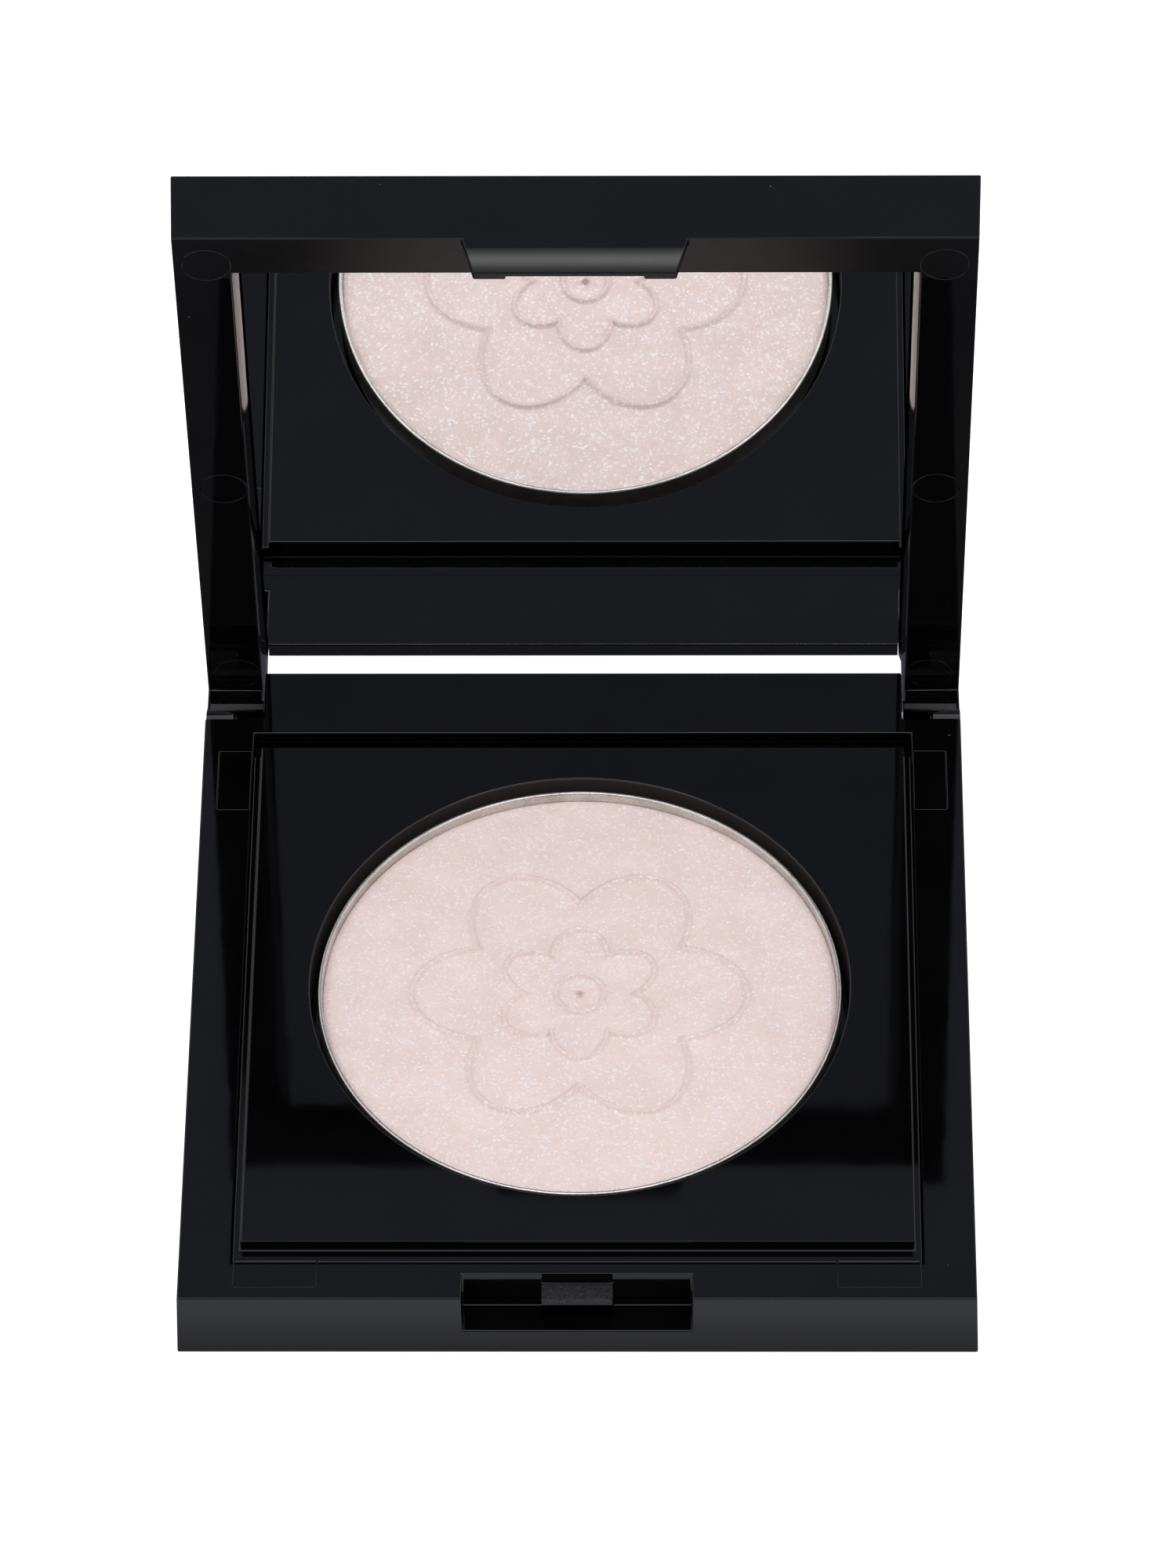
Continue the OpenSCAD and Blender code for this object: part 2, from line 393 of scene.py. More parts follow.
@dataclass(frozen=True)
class PressedPearl:
    """Pressed pearl powder: a soft cloth print, pale mottling, tiny flakes that catch light and
    are whitened partly as a painted glint, and painted shading on the sides of the raised lines.
    """

    name: str = "pressed_pearl"
    pale: Colour = (0.93, 0.755, 0.725)
    deep: Colour = (0.84, 0.67, 0.63)
    # darker colour for the random grit, and also the painted shading on the sides of the raised
    # lines
    grit_and_painted_shade: Colour = (0.7, 0.54, 0.51)
    lilac: Colour = (0.83, 0.76, 0.86)
    # colour of the flakes, whiter partly as a painted glint
    flake_and_painted_glint: Colour = (0.97, 0.93, 0.95)
    mottling_scale: float = 420
    grain_scale: float = 7000
    lilac_scale: float = 1500
    flake_scale: float = 6500
    cloth_pitch: float = 0.00026
    cloth_turn: float = 12
    cloth_height: float = 0.00002
    grain_height: float = 0.00003
    lilac_share: float = 0.45
    grain_share: float = 0.5
    painted_slope_shade_share: float = 0.42
    flake_glint_share: float = 0.75

    def material(self) -> bpy.types.Material:
        """Builds the material: each layer of colour is blended over the one before."""
        shader = Finish(self.name)
        mottling = shader.noise(self.mottling_scale, 4.0, 0.6)
        grain = shader.noise(self.grain_scale, 3.0, 0.7)
        lilac = shader.between(shader.noise(self.lilac_scale, 3.0, 0.7), 0.54, 0.72)
        flakes = shader.node("ShaderNodeSeparateColor", {}, {0: shader.cells(self.flake_scale)})
        bright = shader.between(flakes, 0.8, 0.95)
        slope = shader.node("ShaderNodeAttribute", {"attribute_name": "slope"}, {}, "Fac")
        colour = shader.blend(shader.between(mottling, 0.3, 0.7), self.deep, self.pale)
        colour = shader.blend(lilac * self.lilac_share, colour, self.lilac)
        gritty = shader.between(grain, 0.4, 0.7) * self.grain_share
        colour = shader.blend(gritty, colour, self.grit_and_painted_shade)
        # painted shading: the sides of the blossom's raised lines are darkened by their slope
        colour = shader.blend(slope * self.painted_slope_shade_share, colour, self.grit_and_painted_shade)
        # whiter flakes: partly the real flakes' colour, partly a painted glint
        colour = shader.blend(bright * self.flake_glint_share, colour, self.flake_and_painted_glint)
        low = shader.bump(self.cloth(shader), self.cloth_height, 0.6)
        return shader.set(
            Base_Color=colour,
            Roughness=0.62 - bright * 0.28,
            Metallic=bright * 0.14,
            Normal=shader.bump(grain, self.grain_height, 1.0, under=low),
            Sheen_Weight=0.12,
            Specular_IOR_Level=0.35,
        )

    def cloth(self, shader: Finish) -> Socket:
        """The print of the press cloth: two crossed sets of waves, slightly turned.

        Args:
            shader: The material that it is for.
        Returns:
            The height of the print, from 0 to 1.
        """
        turn = (0, 0, math.radians(self.cloth_turn))
        turned = shader.node(
            "ShaderNodeMapping", {}, {"Vector": shader.coords, "Rotation": turn}
        )
        scale = 0.314 / self.cloth_pitch
        wave = {"Vector": turned, "Scale": scale, "Distortion": 1.2, "Detail": 1.0}
        warp = shader.node("ShaderNodeTexWave", {"bands_direction": "X"}, wave, 1)
        weft = shader.node("ShaderNodeTexWave", {"bands_direction": "Y"}, wave, 1)
        return warp * 0.5 + weft * 0.5


@dataclass(frozen=True)
class SilveredGlass:
    """Mirror glass with a trace of haze."""

    name: str = "silvered_glass"
    colour: Colour = (0.955, 0.965, 0.965)
    haze: Colour = (0.9, 0.915, 0.92)
    haze_scale: float = 160

    def material(self) -> bpy.types.Material:
        """Builds the material."""
        shader = Finish(self.name)
        cloud = shader.between(shader.noise(self.haze_scale, 5.0, 0.6), 0.5, 0.75)
        colour = shader.blend(cloud, self.colour, self.haze)
        return shader.set(Base_Color=colour, Metallic=1.0, Roughness=cloud * 0.012 + 0.004)


@dataclass(frozen=True)
class GroundSteel:
    """Steel wire with fine grinding marks round it."""

    name: str = "ground_steel"
    colour: Colour = (0.56, 0.56, 0.58)
    dark: Colour = (0.34, 0.34, 0.36)
    mark_scale: Point = (18000, 900, 900)
    mark_height: float = 0.00001

    def material(self) -> bpy.types.Material:
        """Builds the material."""
        shader = Finish(self.name)
        stretched = shader.node(
            "ShaderNodeMapping", {}, {"Vector": shader.coords, "Scale": self.mark_scale}
        )
        inputs = {"Vector": stretched, "Scale": 1.0, "Detail": 3.0}
        marks = shader.node("ShaderNodeTexNoise", {}, inputs)
        return shader.set(
            Base_Color=shader.blend(shader.between(marks, 0.35, 0.65), self.dark, self.colour),
            Metallic=1.0,
            Roughness=marks * 0.25 + 0.2,
            Normal=shader.bump(marks, self.mark_height),
        )


@dataclass(frozen=True)
class FibrousSheet:
    """A thin matt sheet, such as a paper label or a foam pad."""

    name: str
    light: Colour
    dark: Colour
    pores: float
    pore_depth: float = 0.00003

    def material(self) -> bpy.types.Material:
        """Builds the material."""
        shader = Finish(self.name)
        fibre = shader.noise(self.pores, 5.0, 0.7)
        return shader.set(
            Base_Color=shader.blend(shader.between(fibre, 0.35, 0.65), self.dark, self.light),
            Roughness=fibre * 0.2 + 0.6,
            Normal=shader.bump(fibre, self.pore_depth),
        )


def dress(piece: bpy.types.Object, material: bpy.types.Material) -> None:
    """Gives a piece one material, on every face."""
    piece.data.materials.clear()
    piece.data.materials.append(material)


def surface(
    name: str,
    points: np.ndarray,
    closed_u: bool = False,
    closed_v: bool = False,
    slope: np.ndarray | None = None,
) -> bpy.types.Object:
    """Makes a mesh from a grid of points, P(u, v), with one quad between each four neighbours.

    Args:
        name: The new object's name.
        points: Array of shape (rows, columns, 3). Faces point towards (d/du x d/dv).
        closed_u: Whether the last row joins the first.
        closed_v: Whether the last column joins the first.
        slope: A number for each point, kept in the mesh as the attribute "slope".
    Returns:
        The new object, at the origin. Points that coincide, as at a pole, are merged.
    """
    rows, columns = points.shape[:2]
    index = np.arange(rows * columns).reshape(rows, columns)
    if closed_u:
        index = np.vstack([index, index[:1]])
    if closed_v:
        index = np.hstack([index, index[:, :1]])
    quads = np.stack([index[:-1, :-1], index[1:, :-1], index[1:, 1:], index[:-1, 1:]], -1)
    mesh = bpy.data.meshes.new(name)
    mesh.from_pydata(points.reshape(-1, 3).tolist(), [], quads.reshape(-1, 4).tolist())
    if slope is not None:
        mesh.attributes.new("slope", "FLOAT", "POINT").data.foreach_set("value", slope.ravel())
    work = bmesh.new()
    work.from_mesh(mesh)
    bmesh.ops.remove_doubles(work, verts=work.verts, dist=1e-8)
    return finished(name, mesh, work)


def finished(name: str, mesh: bpy.types.Mesh, work: bmesh.types.BMesh) -> bpy.types.Object:
    """Puts worked faces back into their mesh and makes its object.

    Args:
        name: The new object's name.
        mesh: The mesh that the faces came from.
        work: The faces, which are freed.
    Returns:
        The new object, smooth and at the origin.
    """
    work.to_mesh(mesh)
    work.free()
    mesh.shade_smooth()
    piece = bpy.data.objects.new(name, mesh)
    bpy.context.scene.collection.objects.link(piece)
    return piece


def arc(
    centre: Sequence[float], radius: float, start: float, end: float, count: int = 7
) -> np.ndarray:
    """Points on an arc: centre + radius (cos a, sin a).

    Args:
        centre: Its centre, two numbers.
        radius: Its radius.
        start: The first a, in degrees.
        end: The last a, in degrees.
        count: How many points.
    Returns:
        Array of shape (count, 2).
    """
    angle = np.radians(np.linspace(start, end, count))
    return np.stack([centre[0] + radius * np.cos(angle), centre[1] + radius * np.sin(angle)], -1)


def lathe(name: str, profile: np.ndarray, centre: Vector, count: int) -> bpy.types.Object:
    """Turns a profile round a vertical line: (r cos t, r sin t, h).

    Args:
        name: The new object's name.
        profile: Points (r, h), radius and height.
        centre: Where the line stands, and where the heights start.
        count: Points round the line.
    Returns:
        The new object.
    """
    turn = np.linspace(0, 2 * math.pi, count, endpoint=False)
    radius, height = profile[:, :1], profile[:, 1:]
    points = np.stack([radius * np.cos(turn), radius * np.sin(turn), height + 0 * turn], -1)
    return surface(name, points + np.array(centre), closed_v=True)


def width_of(face: bmesh.types.BMFace) -> float:
    """A face's mean width: its area divided by its longest edge."""
    return face.calc_area() / max(edge.calc_length() for edge in face.edges)


@dataclass(frozen=True)
class Rounding:
    """How the edges of a moulding are rounded."""

    radius: float
    segments: int = 3
    sharp: float = 32
    room: float = 2.2
    merge: float = 2e-7
    flat: float = 0.1

    def copy(self, node: bpy.types.Object, name: str) -> bpy.types.Object:
        """Copies a CAD node's mesh, merges it, joins its flat faces and rounds its wider ones.

        Args:
            node: The CAD node's object.
            name: The new piece's name.
        Returns:
            The new piece, at the origin.
        """
        source = node.data
        points = np.empty(len(source.vertices) * 3)
        faces = np.empty(len(source.loops), int)
        source.vertices.foreach_get("co", points)
        source.loops.foreach_get("vertex_index", faces)
        mesh = bpy.data.meshes.new(name)
        mesh.from_pydata(points.reshape(-1, 3).tolist(), [], faces.reshape(-1, 3).tolist())
        work = bmesh.new()
        work.from_mesh(mesh)
        bmesh.ops.remove_doubles(work, verts=work.verts, dist=self.merge)
        angle = math.radians(self.flat)
        bmesh.ops.dissolve_limit(
            work, angle_limit=angle, verts=work.verts, edges=work.edges, delimit=set()
        )
        weight = work.edges.layers.float.new("bevel_weight_edge")
        for edge in work.edges:
            narrow = min((width_of(face) for face in edge.link_faces), default=0.0)
            sharp = edge.calc_face_angle(0.0) > math.radians(self.sharp)
            if sharp and narrow > self.room * self.radius:
                edge[weight] = 1.0
        piece = finished(name, mesh, work)
        bevel = piece.modifiers.new("rounding", "BEVEL")
        bevel.width = self.radius
        bevel.segments = self.segments
        bevel.limit_method = "WEIGHT"
        bevel.use_clamp_overlap = False
        normals = piece.modifiers.new("flat_faces", "WEIGHTED_NORMAL")
        normals.mode = "FACE_AREA"
        normals.weight = 100
        return piece


@dataclass
class Case:
    """Places shared by the sub-assemblies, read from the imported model."""

    hinge: Vector
    opening: float
    front_y: float
    rim_z: float
    rim_gap: float = 0.1 * MM

    @classmethod
    def read(cls, frame: dict[str, Any]) -> "Case":
        """Reads the hinge and the base's box from the frame.

        Args:
        Returns:
            The places.
        """
        joint = frame["joints"][0]
        low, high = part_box("base_shell")
        return cls(Vector(joint["pos_m"]), math.radians(joint["range_deg"][1]), low.y, high.z)

    def opened(self, points: np.ndarray) -> np.ndarray:
        """Turns points from the closed case to the open lid, about the hinge line.

        Args:
            points: Array with X, Y and Z last.
        Returns:
            The points where the open lid has them.
        """
        turn = np.array(Matrix.Rotation(-self.opening, 3, "X"))
        centre = np.array(self.hinge)
        return (points - centre) @ turn.T + centre


@dataclass
class MouldMark:
    """The faint raised edge that an ejector leaves on an inside face."""

    width: float = 0.13 * MM
    height: float = 0.03 * MM
    sunk: float = 0.01 * MM
    segments: int = 5
    ring_points: int = 64
    oblong_points: int = 48

    def band(self, path: np.ndarray, outward: np.ndarray, up: float) -> np.ndarray:
        """Carries a low half-round profile along a closed path in a level plane.

        A point is path + outward * (width / 2) cos a + Z * up * (height sin a - sunk), with a
        from 180 to 0.

        Args:
            path: Points of the path, shape (count, 3).
            outward: The unit vector away from the middle at each.
            up: 1 where the mark stands up along Z, or -1 where it hangs down.
        Returns:
            Array of shape (segments + 2, count, 3).
        """
        angle = np.linspace(math.pi, 0, self.segments + 2)[:, None, None]
        across = outward[None] * np.cos(angle) * self.width / 2
        rise = np.sin(angle) * self.height - self.sunk
        return path[None] + across + np.array([0, 0, up]) * rise

    def round(self, centre: np.ndarray, radius: float) -> np.ndarray:
        """A ring in the XY plane, raised towards -Z, as on the closed lid's rim.

        Args:
            centre: Its centre.
            radius: Its radius, to the middle of the band.
        Returns:
            Its band of points.
        """
        turn = np.linspace(0, 2 * math.pi, self.ring_points, endpoint=False)
        outward = np.stack([np.cos(turn), np.sin(turn), 0 * turn], -1)
        return self.band(centre + outward * radius, outward, -1.0)[::-1]

    def oblong(self, centre: np.ndarray, half: tuple[float, float], corner: float) -> np.ndarray:
        """A rounded rectangle in the XY plane, raised towards +Z.

        Args:
            centre: Its centre.
            half: Half its width and half its length.
            corner: Radius of its corners.
        Returns:
            Its band of points.
        """
        count = self.oblong_points
        turn = np.linspace(0, 2 * math.pi, count, endpoint=False) + math.pi / count
        outward = np.stack([np.cos(turn), np.sin(turn), 0 * turn], -1)
        reach = np.array([half[0] - corner, half[1] - corner, 0.0])
        path = centre + np.sign(outward) * reach + outward * corner
        return self.band(path, outward, 1.0)


@dataclass
class Base:
    """The lower moulding, its tray and the marks on its rim.

    A mark is its distances from the middle and from the front, and half its width and length.
    """

    case: Case
    frame: dict[str, Any]
    edge: float = 0.12 * MM
    tray_edge: float = 0.14 * MM
    front_mark: tuple[float, ...] = (20.8 * MM, 2.4 * MM, 2.85 * MM, 1.15 * MM)
    back_mark: tuple[float, ...] = (25.15 * MM, 47.4 * MM, 1.2 * MM, 2.8 * MM)
    mark_corner: float = 0.15 * MM
    well_gap: float = 1.4 * MM
    well_top: float = 0.05 * MM
    # painted reflection: the well's glossy wall mirrors the powder, painted on as this brownish
    # grey
    well_painted_reflection: Colour = (0.05, 0.041, 0.038)
    catch_grey: Colour = (0.045, 0.045, 0.05)
    catch_low: Point = (-2.46 * MM, 0.6 * MM, -1.8 * MM)
    catch_high: Point = (2.46 * MM, 2.22 * MM, -0.9 * MM)

    def catch(self) -> Patch:
        """The box round the latch catch, whose faces are spark-eroded."""
        origin = Vector((0, self.case.front_y, self.case.rim_z))
        low, high = origin + Vector(self.catch_low), origin + Vector(self.catch_high)
        return Patch(low, high, self.catch_grey, grain=1.0)

    def well(self) -> Patch:
        """The box round the well, whose wall is painted brownish grey as a painted reflection of
        the powder.
        """
        low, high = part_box("powder_pan")
        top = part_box("pan_tray")[1].z - self.well_top
        gap = Vector((self.well_gap, self.well_gap, 0))
        high = Vector((high.x, high.y, top)) + gap
        return Patch(low - gap, high, self.well_painted_reflection, roughness=0.3)

    def build(self) -> list[bpy.types.Object]:
        """Builds the shell, the tray and the four marks."""
        shell = Rounding(self.edge).copy(self.frame["nodes"]["base_shell"], "base_case")
        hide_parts("base_shell")
        dress(shell, PianoBlack("base_black", patches=(self.catch(),)).material())
        tray = Rounding(self.tray_edge).copy(self.frame["nodes"]["pan_tray"], "tray_deck")
        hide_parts("pan_tray")
        dress(tray, PianoBlack("tray_black", patches=(self.well(),)).material())
        pieces = [shell, tray, *self.marks()]
        for piece in pieces:
            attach(piece, "base")
        return pieces

    def marks(self) -> list[bpy.types.Object]:
        """Two marks in front of the deck and two beside its back corners."""
        made = []
        material = PianoBlack("mark_black").material()
        places = (("front", self.front_mark), ("back", self.back_mark))
        for place, (x, y, half_x, half_y) in places:
            for side in Side:
                centre = np.array([side.value * x, self.case.front_y + y, self.case.rim_z])
                points = MouldMark().oblong(centre, (half_x, half_y), self.mark_corner)
                mark = surface(f"base_mark_{place}_{side.name.lower()}", points, True, True)
                dress(mark, material)
                made.append(mark)
        return made


@dataclass(frozen=True)
class Petals:
    """A lobed outline round the pan's centre: r = size + swing |cos(count (t - shift) / 2)|."""

    size: float
    swing: float
    shift: float = 0.0
    count: int = 6


@dataclass
class Powder:
    """The pan and the pressed cake in it, with a raised blossom."""

    wall: float = 0.3 * MM
    foot: float = 0.6 * MM
    cake_gap: float = 0.02 * MM
    turns: int = 360
    rings: int = 230
    blossom: tuple[Petals, ...] = (
        Petals(8.3 * MM, 3.6 * MM),
        Petals(4.0 * MM, 1.9 * MM, math.pi / 6),
        Petals(1.7 * MM, 0.0),
    )
    line: float = 0.34 * MM
    relief: float = 0.34 * MM
    rim_round: float = 0.5 * MM
    rim_fall: float = 0.4
    least_radius: float = 0.2 * MM
    least_cosine: float = 0.05

    def build(self) -> list[bpy.types.Object]:
        """Builds the pan and the cake."""
        pan, cake = self.pan(), self.cake()
        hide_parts("powder_pan")
        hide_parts("powder_cake")
        dress(pan, SatinAluminium().material())
        dress(cake, PressedPearl().material())
        for piece in (pan, cake):
            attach(piece, "base")
        return [pan, cake]

    def pan(self) -> bpy.types.Object:
        """The pan: a turned cup with a round lip, closed at its axis inside and outside."""
        low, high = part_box("powder_pan")
        radius, height = (high.x - low.x) / 2, high.z - low.z
        lip = self.wall / 2
        profile = np.vstack([
            [[0, 0], [radius - self.foot, 0]],
            arc((radius - self.foot, self.foot), self.foot, -90, 0),
            arc((radius - lip, height - lip), lip, 0, 180, 11),
            [[radius - self.wall, self.wall], [0, self.wall]],
        ])
        centre = Vector(((low.x + high.x) / 2, (low.y + high.y) / 2, low.z))
        return lathe("metal_pan", profile[::-1], centre, self.turns)

    def raised(self, radius: np.ndarray, turn: np.ndarray) -> np.ndarray:
        """Height of the relief.

        The distance to an outline is |r - outline| divided by the length of the outline's slope.
        The height falls smoothly from 1 on the line to 0 at the line's half width.

        Args:
            radius: Distance of each point from the pan's centre.
            turn: Its angle about that centre.
        Returns:
            The height of each, from 0 to 1.
        """
        height = np.zeros_like(radius)
        safe = np.maximum(radius, self.least_radius)
        for petals in self.blossom:
            angle = petals.count * (turn - petals.shift)
            cosine = np.abs(np.cos(angle / 2))
            slope = petals.count / 2 * petals.swing * np.sin(angle) / 2 / safe
            slope = slope / np.maximum(cosine, self.least_cosine)
            away = np.abs(radius - (petals.size + petals.swing * cosine)) / np.sqrt(1 + slope**2)
            rise = np.clip(1 - away / self.line, 0, 1)
            height = np.maximum(height, rise * rise * (3 - 2 * rise))
        return height

    def cake(self) -> bpy.types.Object:
        """The cake: a disc whose top is z = top - edge fall + relief, closed below.

        Its slope attribute is 4 h (1 - h), with h the relief's height from 0 to 1. That is 1
        halfway up a line's side.
        """
        low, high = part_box("powder_cake")
        radius, depth = (high.x - low.x) / 2 - self.cake_gap, high.z - low.z
        turn = np.linspace(0, 2 * math.pi, self.turns, endpoint=False)[None]
        r = np.linspace(0, radius, self.rings)[:, None] * np.ones_like(turn)
        edge = np.clip((r - radius + self.rim_round) / self.rim_round, 0, 1)
        height = self.raised(r, turn)
        top = depth - self.relief - edge**2 * self.rim_round * self.rim_fall
        below = np.array([[radius], [0.0]]) * np.ones_like(turn)
        r = np.vstack([r, below])
        z = np.vstack([top + self.relief * height, np.zeros_like(below)])
        # this slope feeds the powder's painted shading on the sides of the raised lines
        slope = np.vstack([4 * height * (1 - height), np.zeros_like(below)])
        points = np.stack([r * np.cos(turn), r * np.sin(turn), z], -1)
        centre = np.array([(low.x + high.x) / 2, (low.y + high.y) / 2, low.z])
        return surface("powder_disc", points + centre, closed_v=True, slope=slope)


@dataclass
class Lid:
    """The upper moulding with its mirror and the round marks on its border."""

    case: Case
    frame: dict[str, Any]
    edge: float = 0.11 * MM
    mark_x: float = 25.25 * MM
    mark_y: tuple[float, ...] = (3.2 * MM, 29.15 * MM, 52.1 * MM)
    mark_r: float = 1.67 * MM
    leg_low: Point = (23.45 * MM, 20 * MM, -0.1 * MM)
    leg_high: Point = (27.3 * MM, 27.48 * MM, 4.2 * MM)
    # painted reflection of the white table in the legs' lower ends
    leg_painted_reflection: Colour = (0.04, 0.04, 0.043)
    border_low: Point = (-27.8 * MM, 19 * MM, 53.2 * MM)
    border_high: Point = (27.8 * MM, 23.2 * MM, 57.5 * MM)
    border_roughness: float = 0.22
    tab_length: float = 3.0 * MM
    tab_curve: float = 3.4 * MM
    tab_half: float = 7.6 * MM
    tab_before: Point = (0, 5 * MM, 3 * MM)
    tab_after: Point = (0, 0.02 * MM, 3 * MM)

    def build(self) -> list[bpy.types.Object]:
        """Builds the shell and its six marks, and dresses the mirror."""
        shell = Rounding(self.edge).copy(self.frame["nodes"]["lid_shell"], "lid_case")
        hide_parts("lid_shell")
        finish = PianoBlack("lid_black", patches=self.patches(), tip=self.tip())
        dress(shell, finish.material())
        pieces = [shell, *self.marks()]
        for piece in pieces:
            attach(piece, "lid")
        dress(self.frame["nodes"]["mirror_glass"], SilveredGlass().material())
        return pieces

    def patches(self) -> tuple[Patch, ...]:
        """The fronts of both legs' lower ends, matt and painted grey as a painted reflection of
        the table, and the satin front border.
        """
        low, high = self.leg_low, self.leg_high
        right = Patch(low, high, self.leg_painted_reflection)
        left = Patch((-high[0], *low[1:]), (-low[0], *high[1:]), self.leg_painted_reflection)
        roughness = self.border_roughness
        border = Patch(self.border_low, self.border_high, PianoBlack.colour, roughness)
        return left, right, border

    def tip(self) -> TipCurve:
        """The end of the latch tab, turned from the closed case to the open lid."""
        z = self.case.rim_z + self.case.rim_gap - self.tab_length + self.tab_curve
        closed = np.array([[0, self.case.front_y, z], [0, self.case.front_y, z - 1]])
        start, ahead = self.case.opened(closed)
        side = np.array([self.tab_half, 0, 0])
        low = start - side - np.array(self.tab_before)
        high = start + side + np.array(self.tab_after)
        return TipCurve(low.tolist(), high.tolist(), start, ahead - start)

    def marks(self) -> list[bpy.types.Object]:
        """Three round marks down each side of the border, drawn closed and then opened."""
        rings = []
        material = PianoBlack("lid_mark_black").material()
        z = self.case.rim_z + self.case.rim_gap
        for side in Side:
            for number, y in enumerate(self.mark_y, 1):
                centre = np.array([side.value * self.mark_x, self.case.front_y + y, z])
                points = self.case.opened(MouldMark().round(centre, self.mark_r))
                ring = surface(f"lid_mark_{side.name.lower()}_{number}", points, True, True)
                dress(ring, material)
                rings.append(ring)
        return rings


@dataclass
class SmallParts:
    """The pins, the pads and the label, whose CAD shapes are already right."""

    frame: dict[str, Any]
    foam: FibrousSheet = FibrousSheet("foam_pad", (0.75, 0.74, 0.7), (0.6, 0.59, 0.55), 3000)
    label: FibrousSheet = FibrousSheet(
        "blank_label", (0.05, 0.05, 0.052), (0.03, 0.03, 0.032), 2500
    )

    def build(self) -> list[bpy.types.Object]:
        """Dresses each node."""
        steel, foam = GroundSteel().material(), self.foam.material()
        finishes = {
            "hinge_pin_left": steel,
            "hinge_pin_right": steel,
            "pan_adhesive": foam,
            "mirror_adhesive": foam,
            "base_label": self.label.material(),
        }
        for name, material in finishes.items():
            dress(self.frame["nodes"][name], material)
        return [self.frame["nodes"][name] for name in finishes]


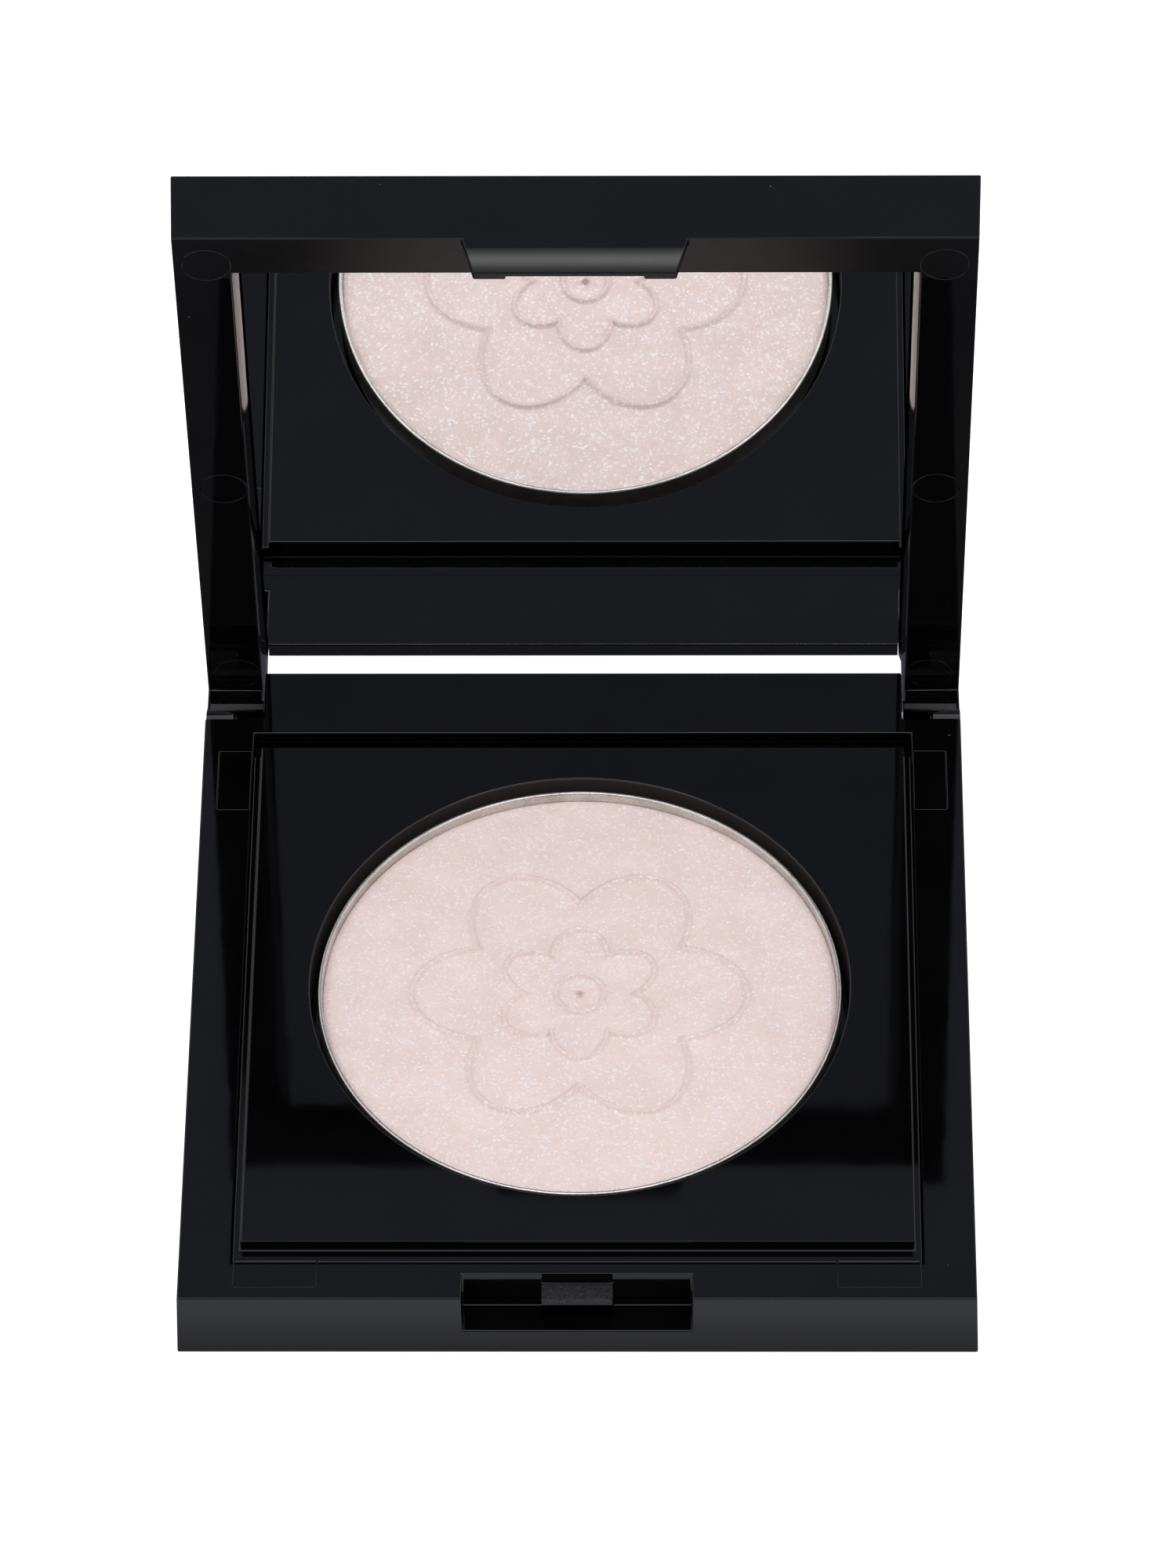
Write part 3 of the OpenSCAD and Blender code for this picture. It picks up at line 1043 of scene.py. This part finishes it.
@dataclass
class Studio:
    """A white table in a soft room, with the camera above the front of the open case."""

    aim: Point = (0.34 * MM, 23.05 * MM, 0.0)
    distance: float = 0.6143
    azimuth: float = -1.043
    elevation: float = 49.03
    roll: float = -0.819
    lens: float = 192.6
    sensor: float = 36.0
    clip: tuple[float, float] = (0.01, 10)
    table_half: float = 1.5
    table_drop: float = 0.02 * MM
    table_tones: tuple[Colour, Colour] = ((0.58, 0.58, 0.58), (0.6, 0.6, 0.6))
    table_glow: float = 0.95
    card_drop: float = 0.05 * MM
    card_dark: Colour = (0.1, 0.1, 0.12)
    card_light: Colour = (0.86, 0.88, 0.93)
    card_from: float = 26 * MM
    card_full: float = 33 * MM
    dim_heights: tuple[float, float] = (0.5, 0.95)
    dim_low: Colour = (0.2, 0.205, 0.25)
    dim_high: Colour = (0.38, 0.4, 0.47)
    wall_light: Colour = (1.04, 1.03, 1.02)
    wall_edge: tuple[float, float] = (0.4, 0.6)
    strip_light: Colour = (6.0, 6.0, 6.0)
    strip_front: tuple[float, float] = (-0.36, -0.32)
    strip_back: tuple[float, float] = (-0.12, -0.08)
    strip_end: tuple[float, float] = (0.4, 0.5)

    def build(self) -> None:
        """Builds the table, the card, the light and the camera."""
        self.build_table()
        self.build_card()
        self.build_light()
        self.build_camera()

    def board(self, name: str, drop: float) -> bpy.types.Object:
        """A flat square that faces up.

        Args:
            name: The new object's name.
            drop: How far it lies below the level that the case stands on.
        Returns:
            The new object.
        """
        grid = np.array([[[-1, -1, 0], [-1, 1, 0]], [[1, -1, 0], [1, 1, 0]]], float)
        piece = surface(name, grid * self.table_half + np.array([0, 0, -drop]))
        return piece

    def build_table(self) -> None:
        """A white table. What the glossy case picks up from it is on the card."""
        table = self.board("table", self.table_drop)
        table.visible_glossy = False
        shader = Finish("table_white")
        tone = shader.between(shader.noise(3.0, 2.0), 0.2, 0.8)
        material = shader.set(
            Base_Color=shader.blend(tone, *self.table_tones),
            Roughness=0.9,
            Specular_IOR_Level=0.1,
            Emission_Color=(1.0, 1.0, 1.0),
            Emission_Strength=self.table_glow,
        )
        dress(table, material)

    def build_card(self) -> None:
        """A card that only shows in the gloss: white in front of the case, dark elsewhere."""
        card = self.board("reflection_card", self.card_drop)
        card.visible_camera = card.visible_diffuse = card.visible_shadow = False
        shader = Finish("card_white")
        ahead = shader.between(shader.axes()[1] * -1.0, self.card_from, self.card_full)
        material = shader.set(
            Base_Color=(0.0, 0.0, 0.0),
            Roughness=1.0,
            Specular_IOR_Level=0.0,
            Emission_Color=shader.blend(ahead, self.card_dark, self.card_light),
            Emission_Strength=1.0,
        )
        dress(card, material)

    def build_light(self) -> None:
        """Light from a dim room with a bright wall on each side and a strip of light overhead.

        With (x, y, z) the direction of a ray: the walls are where |x| is large, the strip is a
        band of y close to straight up, and what is left grows lighter with z.
        """
        world = bpy.data.worlds.new("soft_room")
        shader = Shader(world, "Generated")
        x, y, z = shader.axes()
        colour = shader.blend(shader.between(z, *self.dim_heights), self.dim_low, self.dim_high)
        walls = shader.between(abs(x), *self.wall_edge)
        colour = shader.blend(walls, colour, self.wall_light)
        behind = 1 - shader.between(y, *self.strip_back)
        strip = shader.between(y, *self.strip_front) * behind
        strip = strip * (1 - shader.between(abs(x), *self.strip_end)) * (z > 0.0)
        colour = shader.blend(strip, colour, self.strip_light)
        background = shader.node("ShaderNodeBackground", {}, {"Color": colour, "Strength": 1.0})
        output = shader.tree.nodes.new("ShaderNodeOutputWorld")
        shader.tree.links.new(background.link, output.inputs[0])
        bpy.context.scene.world = world

    def build_camera(self) -> None:
        """Looks along a direction given by azimuth and elevation, turned by the roll about it."""
        azimuth, elevation = math.radians(self.azimuth), math.radians(self.elevation)
        roll = math.radians(self.roll)
        level_part = math.cos(elevation)
        forward = Vector((
            math.sin(azimuth) * level_part, math.cos(azimuth) * level_part, -math.sin(elevation)
        ))
        level = Vector((math.cos(azimuth), -math.sin(azimuth), 0))
        above = level.cross(forward)
        right = level * math.cos(roll) + above * math.sin(roll)
        up = above * math.cos(roll) - level * math.sin(roll)
        data = bpy.data.cameras.new("camera")
        data.lens, data.sensor_width = self.lens, self.sensor
        data.clip_start, data.clip_end = self.clip
        camera = bpy.data.objects.new("camera", data)
        turn = Matrix((right, up, -forward)).transposed().to_4x4()
        place = Matrix.Translation(Vector(self.aim) - forward * self.distance)
        camera.matrix_world = place @ turn
        bpy.context.scene.collection.objects.link(camera)
        bpy.context.scene.camera = camera
        bpy.context.scene.view_settings.view_transform = "Standard"


def main() -> None:
    logging.basicConfig(level=logging.INFO)
    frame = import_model()
    Studio().build()
    case = Case.read(frame)
    for part in (Base(case, frame), Powder(), Lid(case, frame), SmallParts(frame)):
        for piece in part.build():
            LOG.info("%s: %s", type(part).__name__, piece.name)


if __name__ == "__main__":
    main()
